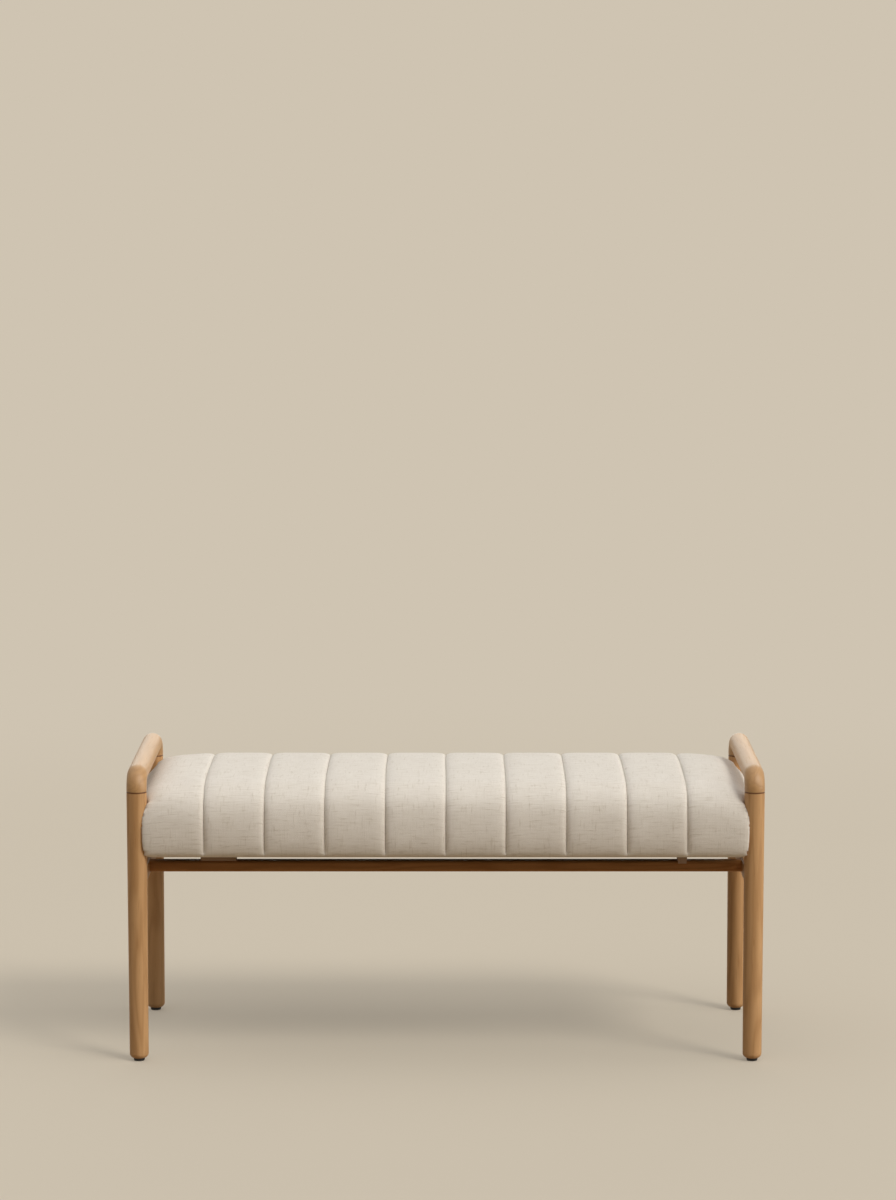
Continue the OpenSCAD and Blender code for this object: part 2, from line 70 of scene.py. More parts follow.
# The four corners of the bench, as signs of x and y
CORNERS = [(-1, -1), (-1, 1), (1, -1), (1, 1)]
# What lies between the rails and the seat
HOLDERS = ["spacer_block_front", "seat_clip_front", "spacer_block_back", "seat_clip_back"]
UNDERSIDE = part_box("cushion_cover")[0][2]
SEAT_END, SEAT_SIDE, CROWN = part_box("cushion_cover")[1]
BOARD_LOW, BOARD_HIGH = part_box("seat_board")
DUST_LOW, DUST_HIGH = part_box("dust_cover")
# From a leg's axis to the board's notched corner
CORNER_ROOM = 25.8 * MM
# Radius of the holes in the dust cover for the seat screws
SCREW_ROOM = 3.3 * MM
# The cover's room round the foam and the board
ROOM_GAP = 0.3 * MM
# The least length that anything is divided by
TINY = 1e-9


# Sizes and colours


def amount(name, description, default, **more):
    """A number in the panel."""
    return FloatProperty(name=name, description=description, default=default, **more)


def metres(name, description, default):
    """A length in the panel."""
    return amount(name, description, default, unit="LENGTH")


def degrees(name, description, default):
    """An angle in the panel."""
    return amount(name, description, math.radians(default), subtype="ANGLE")


def tint(name, description, default):
    """A colour in the panel."""
    return FloatVectorProperty(name=name, description=description, default=default, size=3, subtype="COLOR")


class BenchSizes(bpy.types.PropertyGroup):
    """Sizes of the soft pieces"""

    channels: IntProperty(name="Channels", description="Number of sewn channels", default=10, min=3, max=20)
    end_extra: metres("End channel extra", "How much wider the two end channels are", 2.8 * MM)
    front_half: metres("Front half", "Half the length of the quilted front", LEG_X - 8.5 * MM)
    waist_rise: metres("Waist rise", "Height of the widest line above the underside", 40 * MM)
    crown_rise: metres("Crown rise", "Rise of the top towards its middle", 5 * MM)
    top_round_deep: metres("Top rounding depth", "How far the sides' rounding reaches over the top", 68 * MM)
    top_fullness: amount("Top fullness", "How full the top edges' rounding is", 3.7, min=3.0, max=9.0)
    low_round_deep: metres("Bottom rounding depth", "How far the sides turn in underneath", 11 * MM)
    end_run: metres("End run", "Length in which each end rounds down", 88.5 * MM)
    slack: metres("Slack", "How much smaller the cover starts out", 2 * MM)
    voxel: metres("Voxel", "Size of the remesh for the filling", 4.5 * MM)
    swell: metres("Swell", "Furthest that the filling moves the cloth", 3.5 * MM)
    seam_broad: metres("Seam pull", "How far a seam draws in the cloth beside it", 2.6 * MM)
    seam_sharp: metres("Seam depth", "Depth of the roll that turns down into a seam", 4.6 * MM)
    seam_roll: metres("Seam roll", "Width of the roll beside a seam", 8.5 * MM)
    foam_round: metres("Foam rounding", "Rounding of the foam's long top edges", 60 * MM)
    leg_room: metres("Leg room", "Radius kept free round each leg's axis", 17.9 * MM)
    dust_fold: metres("Dust cover fold", "Width of the edge folded in under the seat", 11 * MM)
    dust_sag: metres("Dust cover sag", "How far the dust cover hangs at its loosest", 1.6 * MM)
    staple_pitch: metres("Staple pitch", "Distance between the staples", 46 * MM)
    staple_crown: metres("Staple crown", "Width of a staple's back", 11 * MM)
    staple_leg: metres("Staple leg", "How deep a staple goes into the board", 8 * MM)
    staple_wire: metres("Staple wire", "Width of a staple's flat wire", 1.2 * MM)


class BenchColours(bpy.types.PropertyGroup):
    """Colours of the finishes, as the eye sees them in plain light"""

    linen: tint("Linen", "Thread colour of the cover", (0.86, 0.8, 0.72))
    linen_dark: tint("Linen shade", "Darker threads and the depth between threads", (0.63, 0.555, 0.455))
    oak: tint("Oak", "Light wood between the grain lines", (0.63, 0.35, 0.145))
    oak_grain: tint("Oak grain", "Grain lines of the wood", (0.42, 0.205, 0.07))
    ground: tint("Ground", "Floor and backdrop", (0.624, 0.552, 0.445))


class BenchStage(bpy.types.PropertyGroup):
    """Camera, lamps and floor"""

    lens: amount("Lens", "Focal length of the camera", 114.2, unit="CAMERA")
    pitch: degrees("Pitch", "How far the camera looks down", 7.26)
    distance: metres("Distance", "Distance of the camera in front of the bench", 6.6605)
    height: metres("Height", "Height of the camera above the floor", 1.6312)
    aside: metres("Aside", "How far right of the middle the camera stands", 4.1 * MM)
    key: amount("Key", "Strength of the key lamp", 1.31)
    side: amount("Side", "Strength of the low lamp at the right", 1.0)
    rim: amount("Rim", "Strength of the low lamp behind the bench", 0.48)
    top: amount("Top", "Strength of the lamp overhead", 0.86)
    key_softness: degrees("Key softness", "Angle that the key lamp fills", 20)
    low_softness: degrees("Low softness", "Angle that the side and rim lamps fill", 40)
    top_softness: degrees("Top softness", "Angle that the lamp overhead fills", 110)
    bounce: amount("Bounce", "Share of its light that the floor throws back", 0.55)
    lift: amount("Lift", "Share of its own even colour that the floor keeps in shadow", 0.35)
    sky_low: amount("Side light", "Light from the sides of the studio", 0.045)
    sky_high: amount("Ceiling light", "Light from above", 0.42)


# Small helpers


def only(obj):
    """Makes obj the only selected and active object."""
    bpy.ops.object.select_all(action="DESELECT")
    obj.select_set(True)
    bpy.context.view_layer.objects.active = obj


@contextmanager
def editing(obj):
    """Edit mode on obj, with its whole mesh selected."""
    only(obj)
    bpy.ops.object.mode_set(mode="EDIT")
    bpy.ops.mesh.select_all(action="SELECT")
    yield
    bpy.ops.object.mode_set(mode="OBJECT")


def mesh_object(name, points, faces):
    """A new object from points and faces."""
    mesh = bpy.data.meshes.new(name)
    mesh.from_pydata([tuple(p) for p in points], [], faces)
    mesh.update()
    obj = bpy.data.objects.new(name, mesh)
    bpy.context.scene.collection.objects.link(obj)
    return obj


def copy_node(node, name):
    """A loose copy of a CAD node with its doubled corners merged."""
    obj = bpy.data.objects.new(name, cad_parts[node].data.copy())
    bpy.context.scene.collection.objects.link(obj)
    with editing(obj):
        bpy.ops.mesh.remove_doubles(threshold=0.02 * MM)
        bpy.ops.mesh.normals_make_consistent()
    return obj


def upright_rod(radius, depth, place, sides):
    """A plain upright cylinder, to cut a round hole with."""
    bpy.ops.mesh.primitive_cylinder_add(vertices=sides, radius=radius, depth=depth, location=place)
    return bpy.context.object


def apply(obj, kind, **values):
    """Adds a modifier with these values and applies it."""
    only(obj)
    step = obj.modifiers.new("Step", kind)
    for key, value in values.items():
        setattr(step, key, value)
    bpy.ops.object.modifier_apply(modifier=step.name)


def cut(obj, cutter):
    """Takes the cutter's form out of obj and deletes the cutter."""
    apply(obj, "BOOLEAN", operation="DIFFERENCE", object=cutter, solver="MANIFOLD")
    bpy.data.objects.remove(cutter, do_unlink=True)


def read(items, field, width=3, kind=float):
    """One field of all points, edges, corners or faces of a mesh, a row for each."""
    flat = np.empty(len(items) * width, dtype=kind)
    items.foreach_get(field, flat)
    return flat.reshape(-1, width) if width > 1 else flat


def coords(obj):
    """The places of a mesh's points."""
    return read(obj.data.vertices, "co")


def set_coords(obj, points):
    """Moves a mesh's points to new places."""
    obj.data.vertices.foreach_set("co", points.ravel())
    obj.data.update()


def clamped(value):
    """The value, held between 0 and 1."""
    return np.clip(value, 0, 1)


def eased(share):
    """A share from 0 to 1 that starts and ends gently."""
    return share * share * (3 - 2 * share)


def smooth_shade(obj, angle=180):
    """Shades obj smooth where its faces meet more flatly than this many degrees."""
    only(obj)
    bpy.ops.object.shade_smooth_by_angle(angle=math.radians(angle))


def finish_piece(obj, material):
    """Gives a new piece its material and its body."""
    obj.data.materials.clear()
    obj.data.materials.append(material)
    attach(obj, "root")


def paint(material, *nodes):
    """Gives CAD nodes a better material."""
    for node in nodes:
        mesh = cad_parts[node].data
        mesh.materials.clear()
        mesh.materials.append(material)


# Materials


class Tree:
    """Adds nodes to a material or a group, left to right."""

    def __init__(self, tree):
        self.tree = tree
        self.column = 0

    def add(self, kind, **values):
        node = self.tree.nodes.new(kind)
        self.column += 1
        node.location = (180 * self.column, -60 * (self.column % 5))
        for key, value in values.items():
            setattr(node, key, value)
        return node

    def feed(self, socket, value):
        """Links an input to another node's output, or gives it a plain value."""
        if isinstance(value, bpy.types.NodeSocket):
            self.tree.links.new(value, socket)
        else:
            socket.default_value = value

    def put(self, node, **inputs):
        """Feeds a node's inputs by their names, with underscores for spaces."""
        for key, value in inputs.items():
            name = key.replace("_", " ")
            socket = next((s for s in node.inputs if s.name == name and s.enabled), None)
            if socket is None:
                raise KeyError(f"{node.bl_idname} has no input {name}")
            self.feed(socket, value)

    def maths(self, operation, first, second=0.0, clamp=False):
        node = self.add("ShaderNodeMath", operation=operation, use_clamp=clamp)
        self.feed(node.inputs[0], first)
        self.feed(node.inputs[1], second)
        return node.outputs[0]

    def total(self, *parts):
        """The sum of several values, each times its weight."""
        result = None
        for value, weight in parts:
            part = self.maths("MULTIPLY", value, weight)
            result = part if result is None else self.maths("ADD", result, part)
        return result

    def remap(self, value, low, high, to_low=0.0, to_high=1.0):
        node = self.add("ShaderNodeMapRange", interpolation_type="SMOOTHSTEP")
        self.put(node, Value=value, From_Min=low, From_Max=high, To_Min=to_low, To_Max=to_high)
        return node.outputs[0]

    def blend(self, factor, first, second):
        """A colour between two others, each a socket or red, green and blue."""
        node = self.add("ShaderNodeMix", data_type="RGBA")
        self.put(node, Factor=factor)
        for socket, value in zip([s for s in node.inputs if s.type == "RGBA"], (first, second)):
            self.feed(socket, value if isinstance(value, bpy.types.NodeSocket) else (*value, 1.0))
        return next(s for s in node.outputs if s.type == "RGBA")

    def mix_shaders(self, factor, first, second):
        node = self.add("ShaderNodeMixShader")
        for socket, value in zip(node.inputs, (factor, first, second)):
            self.feed(socket, value)
        return node.outputs[0]

    def stretch(self, vector, scale, location=(0, 0, 0), rotation=(0, 0, 0)):
        node = self.add("ShaderNodeMapping")
        self.put(node, Vector=vector, Scale=scale, Location=location, Rotation=rotation)
        return node.outputs[0]

    def split(self, vector):
        """The x, y and z of a vector."""
        node = self.add("ShaderNodeSeparateXYZ")
        self.feed(node.inputs[0], vector)
        return node.outputs[:]

    def noise(self, vector, scale=1.0, detail=2.0, roughness=0.5, distortion=0.0):
        node = self.add("ShaderNodeTexNoise")
        self.put(node, Vector=vector, Scale=scale, Detail=detail, Roughness=roughness, Distortion=distortion)
        return node.outputs["Fac"]

    def object_place(self):
        return self.add("ShaderNodeTexCoord").outputs["Object"]

    def seen(self):
        """1 where the camera looks, directly or in a reflection or through glass, and 0 for light."""
        rays = self.add("ShaderNodeLightPath").outputs
        indirect = self.maths("MAXIMUM", rays["Is Glossy Ray"], rays["Is Transmission Ray"])
        return self.maths("MAXIMUM", rays["Is Camera Ray"], indirect)


def new_group(name, numbers, outputs):
    """A shader node group that takes a place, two colours and these numbers.

    Gives its tree helper, its inputs and its output node.
    """
    tree = bpy.data.node_groups.new(name, "ShaderNodeTree")
    inputs = {"Vector": "Vector", "Light": "Color", "Dark": "Color", **dict.fromkeys(numbers, "Float")}
    for way, sockets in (("INPUT", inputs), ("OUTPUT", outputs)):
        for label, kind in sockets.items():
            tree.interface.new_socket(name=label, in_out=way, socket_type=f"NodeSocket{kind}")
    helper = Tree(tree)
    start = helper.add("NodeGroupInput")
    end = tree.nodes.new("NodeGroupOutput")
    end.location = (4000, 0)
    return helper, start.outputs, end


def wood_group():
    """Wood grain along Z: growth lines, fine fibres and short pores."""
    outputs = {"Color": "Color", "Roughness": "Float", "Height": "Float"}
    t, given, end = new_group("Wood grain", ["Seed", "Strength"], outputs)
    at = t.stretch(given["Vector"], (1, 1, 1), given["Seed"])
    drift = t.noise(t.stretch(at, (9, 9, 1.3)), 1.0, 3.0, 0.55)
    broad = t.noise(t.stretch(at, (26, 26, 1.1)), 1.0, 2.0, 0.5, 0.6)
    growth = t.maths("ADD", broad, t.maths("MULTIPLY", drift, 1.4))
    rings = t.maths("SINE", t.maths("MULTIPLY", growth, 46.0))
    lines = t.maths("POWER", t.maths("ADD", t.maths("MULTIPLY", rings, 0.5), 0.5), 1.6)
    fibre = t.noise(t.stretch(at, (900, 900, 14)), 1.0, 2.0, 0.6)
    pores = t.remap(t.noise(t.stretch(at, (620, 620, 26)), 1.0, 1.0), 0.62, 0.74)
    mask = t.total((lines, 0.42), (fibre, 0.34), (pores, 0.3), (t.remap(drift, 0.3, 0.7), 0.24))
    mask = t.maths("MULTIPLY", mask, given["Strength"], True)
    t.put(
        end,
        Color=t.blend(mask, given["Light"], given["Dark"]),
        Roughness=t.maths("ADD", t.total((fibre, 0.12), (pores, 0.15)), 0.4),
        Height=t.total((fibre, 0.5), (pores, -1.0)),
    )
    return t.tree


def weave_group():
    """Plain linen weave on a UV map in metres: threads both ways, slubs, and their depth."""
    t, given, end = new_group("Linen weave", [], {"Color": "Color", "Height": "Float"})
    threads_a_metre = 500
    at = given["Vector"]
    bend = t.noise(at, 55.0)
    waver = t.maths("MULTIPLY", t.maths("SUBTRACT", bend, 0.5), 1.2 * MM)
    warp, weft = (
        t.maths("SINE", t.maths("MULTIPLY", t.maths("ADD", part, waver), math.tau * threads_a_metre))
        for part in t.split(at)[:2]
    )
    weave = t.maths("MULTIPLY", warp, weft)
    # Thicker threads: fine ones up and across, and coarse ones across and up
    slub_up = t.noise(t.stretch(at, (700, 22, 1)), 1.0, 2.0, 0.55)
    slub_side = t.noise(t.stretch(at, (24, 760, 1), (3.7, 1.9, 0)), 1.0, 2.0, 0.55)
    slub_wide = t.noise(t.stretch(at, (36, 260, 1), (7.1, 5.3, 0)), 1.0, 3.0, 0.6)
    slub_tall = t.noise(t.stretch(at, (230, 30, 1), (2.3, 8.9, 0)), 1.0, 3.0, 0.6)
    thick = t.maths("ADD", t.remap(slub_side, 0.55, 0.8), t.remap(slub_up, 0.57, 0.8))
    coarse = t.maths("ADD", t.remap(slub_wide, 0.52, 0.78), t.remap(slub_tall, 0.54, 0.8))
    pale = t.remap(slub_wide, 0.32, 0.47, 1.0, 0.0)
    mottle = t.noise(at, 14.0, 4.0, 0.6)
    fuzz = t.noise(at, 1500.0, 2.0, 0.7)
    slubs = t.total((slub_side, 0.4), (slub_up, 0.35), (fuzz, 0.2), (mottle, 0.3), (coarse, 0.6))
    mask = t.maths("SUBTRACT", t.total((slubs, 1.0), (weave, -0.06), (pale, -0.14)), 0.42, True)
    t.put(
        end,
        Color=t.blend(mask, given["Light"], given["Dark"]),
        Height=t.total((weave, 0.35), (thick, 0.8), (coarse, 0.5), (fuzz, 0.4)),
    )
    return t.tree


def new_material(name):
    """A material with a Principled BSDF; gives the material, its tree helper and the shader."""
    material = bpy.data.materials.new(name)
    material.use_nodes = True
    shader = material.node_tree.nodes["Principled BSDF"]
    shader.location = (3600, 0)
    material.node_tree.nodes["Material Output"].location = (3900, 0)
    return material, Tree(material.node_tree), shader


def place_group(t, name, build, light, dark, **inputs):
    """Places a node group in a material, builds it on its first use, and gives its outputs."""
    node = t.add("ShaderNodeGroup", node_tree=bpy.data.node_groups.get(name) or build())
    t.put(node, Light=(*light, 1), Dark=(*dark, 1), **inputs)
    return node.outputs


def bump(t, shader, height, distance, strength):
    """Gives the shader a fine surface, distance deep."""
    node = t.add("ShaderNodeBump")
    t.put(node, Height=height, Distance=distance, Strength=strength)
    t.put(shader, Normal=node.outputs[0])


def wood_material(name, light, dark, turn, seed, joint=None, strength=1.0, gloss=0.0):
    """Oiled wood with its grain along Z after turn; a joint darkens a fine line at that height."""
    material, t, shader = new_material(name)
    place = t.object_place()
    turned = t.stretch(place, (1, 1, 1), rotation=turn)
    wood = place_group(t, "Wood grain", wood_group, light, dark, Vector=turned, Seed=seed, Strength=strength)
    tone = wood["Color"]
    if joint is not None:
        off = t.maths("ABSOLUTE", t.maths("SUBTRACT", t.split(place)[2], joint))
        line = t.remap(off, 0.6 * MM, 1.8 * MM, 1.0, 0.0)
        tone = t.blend(t.maths("MULTIPLY", line, 0.9), tone, (0.13, 0.04, 0.006))
    t.put(shader, Base_Color=tone, Roughness=wood["Roughness"], Specular_IOR_Level=0.1 + 0.4 * gloss)
    t.put(shader, Coat_Weight=gloss, Coat_Roughness=0.52)
    bump(t, shader, wood["Height"], 0.12 * MM, 0.5)
    return material


def linen_material(light, dark):
    """Undyed linen on the cloth's own UV map, with painted shade along its seams."""
    material, t, shader = new_material("linen_weave")
    cloth = t.add("ShaderNodeUVMap", uv_map="cloth").outputs[0]
    weave = place_group(t, "Linen weave", weave_group, light, dark, Vector=cloth)
    # Painted shade: the cloth darkens in the groove along each seam, where the seam attribute is high
    seam = t.add("ShaderNodeAttribute", attribute_name="seam").outputs["Fac"]
    tone = t.blend(t.maths("MULTIPLY", seam, 0.35), weave["Color"], [c * 0.6 for c in dark])
    t.put(shader, Base_Color=tone, Roughness=0.92, Specular_IOR_Level=0.2)
    t.put(shader, Sheen_Weight=0.12, Sheen_Roughness=0.5)
    bump(t, shader, weave["Height"], 0.4 * MM, 0.6)
    return material


def plain_material(name, light, dark, scale, rough, metal=0.0, depth=0.1 * MM):
    """A finish with mottled colour, roughness and a fine surface of its own."""
    material, t, shader = new_material(name)
    place = t.object_place()
    fine = t.noise(place, scale, 4.0, 0.65)
    broad = t.noise(place, scale * 0.08)
    mottle = t.remap(t.total((fine, 0.6), (broad, 0.4)), 0.3, 0.7)
    t.put(
        shader,
        Base_Color=t.blend(mottle, light, dark),
        Roughness=t.remap(fine, 0.2, 0.8, rough - 0.08, rough + 0.1),
        Metallic=metal,
    )
    bump(t, shader, fine, depth, 0.6)
    return material


def felt_material():
    """Black pressed fibre cloth with a fine grid of small bonded dots."""
    material, t, shader = new_material("dust_fibre")
    place = t.object_place()
    fibre = t.noise(t.stretch(place, (1, 1, 0.2)), 520.0, 5.0, 0.75, 1.2)
    broad = t.noise(place, 9.0, 3.0, 0.6)
    dots = t.add("ShaderNodeTexVoronoi")
    t.put(dots, Vector=t.stretch(place, (1, 1, 0)), Scale=620.0, Randomness=0.15)
    dot = t.remap(dots.outputs["Distance"], 0.1, 0.4)
    mask = t.maths("MULTIPLY", t.total((fibre, 0.6), (broad, 0.3)), dot)
    t.put(
        shader,
        Base_Color=t.blend(mask, (0.012, 0.012, 0.013), (0.05, 0.05, 0.052)),
        Roughness=t.remap(dot, 0.0, 1.0, 0.62, 0.9),
        Specular_IOR_Level=0.3,
    )
    bump(t, shader, t.total((dot, 1.0), (fibre, 0.6)), 0.2 * MM, 0.7)
    return material


# Cushion form


def cushion_profile(x, size):
    """Half a section of the seat at x, from its underside to its top, and the height of its middle."""
    front_ease, ease_power, end_overlap = 2.9 * MM, 60, 4 * MM
    waist = UNDERSIDE + size.waist_rise
    share = max(0.0, (abs(x) - (SEAT_END - size.end_run)) / size.end_run)
    if abs(x) <= size.front_half:
        y = SEAT_SIDE - front_ease * (abs(x) / size.front_half) ** ease_power
    else:
        past = min(1.0, (abs(x) - size.front_half) / (SEAT_END - size.front_half))
        y = (LEG_Y - size.leg_room + end_overlap) * (1 - past**4) ** 0.25

    def left(power):
        """The share of a height that is left where the end rounds down, later with a higher power."""
        return math.sqrt(max(0.0, 1 - share**power))

    def arc(angle, inwards, height, fullness):
        """A point on a rounded edge between the waist and the top or the underside."""
        return y - inwards * (1 - math.cos(angle)), waist + height * math.sin(angle) ** (2 / fullness)

    top = waist + (CROWN - size.crown_rise - waist) * left(2.7)
    low = waist - size.waist_rise * left(16)
    rise = size.crown_rise * left(1)
    y, top = y - size.slack, top - size.slack
    over = min(size.top_round_deep, 0.6 * y)
    under = min(size.low_round_deep, 0.3 * y)
    points = [((y - under) * q, low) for q in (0.04, 0.28, 0.52, 0.76)]
    points += [arc(math.radians(90 - 10 * k), under, low - waist, 3) for k in range(9)]
    top_fullness = size.top_fullness - 2.4 * share
    points += [arc(math.radians(90 * k / 16), over, top - waist, top_fullness) for k in range(17)]
    points += [((y - over) * q, top + rise * (1 - q * q)) for q in (1 - k / 8 for k in range(1, 8))]
    return points, top + rise


def cushion_body(size):
    """The seat's whole form as a closed mesh, with room for the four legs cut out."""
    front_half = size.front_half
    beyond = SEAT_END - size.slack - front_half
    # Sections along half the seat: even ones, then closer ones where the front ends and the end rounds off
    places = [*np.linspace(0, front_half - 20 * MM, 60)]
    places += [front_half - s * MM for s in (16, 12, 8, 5, 2.5, 1, 0)]
    places += [front_half + beyond * e for e in (0.02, 0.15, 0.3, 0.45, 0.6, 0.72, 0.82, 0.9, 0.95, 0.985)]
    places = [-p for p in reversed(places[1:])] + places
    points = []
    for x in places:
        half, top = cushion_profile(x, size)
        points += [(x, y, z) for y, z in half] + [(x, 0, top)] + [(x, -y, z) for y, z in reversed(half)]
    m = len(places)
    n = len(points) // m
    faces = [
        (i * n + j, i * n + (j + 1) % n, (i + 1) * n + (j + 1) % n, (i + 1) * n + j)
        for i in range(m - 1)
        for j in range(n)
    ]
    faces += [tuple(range(n - 1, -1, -1)), tuple((m - 1) * n + j for j in range(n))]
    body = mesh_object("quilted_cover", points, faces)
    with editing(body):
        bpy.ops.mesh.normals_make_consistent()
    radius = size.leg_room + size.slack * 0.7
    for sx, sy in CORNERS:
        cut(body, upright_rod(radius, 0.3, (sx * LEG_X, sy * LEG_Y, 0.42), 64))
    return body


def keep_clear(points, size):
    """Moves points out of the legs' room and above the underside."""
    for sx, sy in CORNERS:
        away = points[:, :2] - np.array([sx * LEG_X, sy * LEG_Y])
        far = np.hypot(away[:, 0], away[:, 1])
        close = far < size.leg_room
        points[close, :2] += away[close] * (size.leg_room / np.maximum(far[close], TINY) - 1)[:, None]
    points[:, 2] = np.maximum(points[:, 2], UNDERSIDE + 0.1 * MM)
    return points


def round_lobes(points, size):
    """Gives the front and back corners, which lap over the legs, their full rounded outline."""
    root = size.front_half - 30 * MM
    # Heights above the underside, and how far the outline there stays inside the end of the front
    heights = np.array([0, 7, 14, 20, 30, 42, 58, 70, 76, 82, 88, 95, 104]) * MM
    insets = np.array([6.6, 4.6, 3, 2.2, 1.3, 1, 0.7, 0.5, 0.8, 1.8, 4.2, 8, 14]) * MM
    levels = UNDERSIDE + np.arange(0, 106, 4) * MM
    for sx, sy in CORNERS * 4:
        x, y, z = sx * points[:, 0], sy * points[:, 1], points[:, 2]
        lobe = (x > root) & (y > LEG_Y + 4 * MM)
        found = []
        for level in levels:
            near = lobe & (np.abs(z - level) < 3 * MM)
            found.append(x[near].max() if near.any() else size.front_half)
        found = np.convolve(np.pad(found, 1, mode="edge"), (0.25, 0.5, 0.25), mode="valid")
        here = np.interp(z, levels, found)
        wanted = np.interp(z, UNDERSIDE + heights, size.front_half - insets)
        stretch = np.clip((wanted - root) / np.maximum(here - root, 10 * MM), 0.8, 1.25)
        # Full in front of the leg's axis, and fading out towards the top
        full = clamped((y - LEG_Y) / (8 * MM)) * clamped((UNDERSIDE + 112 * MM - z) / (14 * MM))
        moved = root + (x - root) * (1 + (stretch - 1) * full)
        points[:, 0] = np.where((x > root) & (y > LEG_Y), sx * moved, points[:, 0])
    return points


def even_out(body, values, rounds):
    """Averages values at the points of a mesh with those at their neighbours, several times."""
    first, second = read(body.data.edges, "vertices", 2, np.int64).T
    count = len(values)
    shares = np.maximum(np.bincount(first, minlength=count) + np.bincount(second, minlength=count), 1)
    for _ in range(rounds):
        for axis in range(3):
            total = np.bincount(first, values[second, axis], count)
            total += np.bincount(second, values[first, axis], count)
            values[:, axis] = (values[:, axis] + total / shares) / 2
    return values


def press_out(body, start, size):
    """How far the filling moves each point of the cloth, from a simulation of its pressure."""
    frames = 16
    cloth = body.modifiers.new("Filling", "CLOTH")
    settings = cloth.settings
    settings.quality = 4
    settings.mass = 0.25
    settings.tension_stiffness = 12
    settings.compression_stiffness = 12
    settings.shear_stiffness = 4
    settings.bending_stiffness = 0.8
    settings.use_pressure = True
    settings.uniform_pressure_force = 4.0
    settings.effector_weights.gravity = 0.0
    cloth.collision_settings.use_collision = False
    cloth.point_cache.frame_end = frames
    to_leg = np.hypot(np.abs(start[:, 0]) - LEG_X, np.abs(start[:, 1]) - LEG_Y)
    held = np.nonzero((start[:, 2] < UNDERSIDE + 3 * MM) | (to_leg < 26 * MM))[0]
    body.vertex_groups.new(name="stapled").add(held.tolist(), 1.0, "REPLACE")
    settings.vertex_group_mass = "stapled"
    for number in range(1, frames + 1):
        bpy.context.scene.frame_set(number)
    filled = body.evaluated_get(bpy.context.evaluated_depsgraph_get())
    moved = read(filled.data.vertices, "co") - start
    body.modifiers.remove(cloth)
    body.vertex_groups.clear()
    bpy.context.scene.frame_set(1)
    far = np.linalg.norm(moved, axis=1)
    limit = size.swell * (1 - np.exp(-far / size.swell)) * eased(clamped((to_leg - 22 * MM) / (40 * MM)))
    return even_out(body, moved * (limit / np.maximum(far, TINY))[:, None], 40)


def fill_cushion(body, size):
    """Remeshes the seat evenly and lets its filling press the cloth out."""
    apply(body, "REMESH", mode="VOXEL", voxel_size=size.voxel)
    apply(body, "SMOOTH", iterations=4)
    points = coords(body)
    points = points + press_out(body, points, size)
    set_coords(body, round_lobes(points, size))


def add_seam_edges(body, seams):
    """Cuts new edges into the cloth along each seam and on both sides of it."""
    steps = [0, 0.6, 1.4, 2.8, 4.8, 7.4, 10.4, 14]
    bm = bmesh.new()
    bm.from_mesh(body.data)
    for x in seams:
        faces = [f for f in bm.faces if abs(f.verts[0].co.x - x) < 20 * MM]
        near = [*{v for f in faces for v in f.verts}, *{e for f in faces for e in f.edges}, *faces]
        for off in sorted({s * d for d in steps for s in (-1, 1)}):
            near = bmesh.ops.bisect_plane(
                bm, geom=near, dist=0.08 * MM, plane_co=(x + off * MM, 0, 0), plane_no=(1, 0, 0)
            )["geom"]
    bm.to_mesh(body.data)
    bm.free()


def quilt_cushion(body, size):
    """Sews the channels: new edges along each seam, the cloth drawn in towards the thread, and a mark for
    painted shade along each seam.
    """
    pitch = 2 * (size.front_half - size.end_extra) / size.channels
    seams = [pitch * (k - size.channels / 2) for k in range(1, size.channels)]
    add_seam_edges(body, seams)
    points = coords(body)
    out = read(body.data.vertices, "normal")
    off_seam = np.abs(points[:, :1] - np.array(seams)).min(axis=1)
    # Nothing is drawn in at the underside
    rise = clamped((points[:, 2] - UNDERSIDE - 1.5 * MM) / (9 * MM))
    strength = eased(rise) * (1 - clamped(-out[:, 2]))
    broad = clamped(1 - off_seam / (26 * MM)) ** 2.4
    roll = 1 - np.sqrt(1 - clamped(1 - off_seam / size.seam_roll) ** 2)
    sharp = size.seam_sharp * (1.1 - 0.4 * clamped(out[:, 2]))
    lean = out * (0, 1, 1)
    lean /= np.maximum(np.linalg.norm(lean, axis=1), TINY)[:, None]
    points -= lean * ((size.seam_broad * broad + sharp * roll) * strength)[:, None]
    # The seams waver a little, less towards the ends
    waver = np.array([noise.noise(Vector((x * 9, y * 7, z * 7 + 3.1))) for x, y, z in points])
    hold = clamped((size.front_half - 20 * MM - np.abs(points[:, 0])) / (60 * MM))
    points[:, 0] += 1.1 * MM * waver * hold * rise
    set_coords(body, points)
    # Marks where the linen gets painted shade: close beside each seam, and fading towards the underside
    painted_seam_shade = body.data.attributes.new("seam", "FLOAT", "POINT")
    painted_seam_shade.data.foreach_set("value", (clamped(1 - off_seam / (1.3 * MM)) * strength).astype(np.float32))


def lay_weave(body):
    """Lays the cloth's UV map in metres: along the seat and over it, and across both end panels."""
    mesh = body.data
    layer = mesh.uv_layers.new(name="cloth")
    points = coords(body)
    side = np.clip(points[:, 1] / (120 * MM), -1, 1)
    side *= 1.5 - 0.5 * side**2
    over = np.stack([points[:, 0], points[:, 1] - (points[:, 2] - CROWN) * side], axis=1)
    corner = read(mesh.loops, "vertex_index", 1, np.int64)
    corner_count = read(mesh.polygons, "loop_total", 1, np.int64)
    sideways = np.repeat(np.abs(read(mesh.polygons, "normal")[:, 0]), corner_count)
    uv = np.where(sideways[:, None] > 0.75, points[corner, 1:], over[corner])
    layer.data.foreach_set("uv", uv.astype(np.float32).ravel())


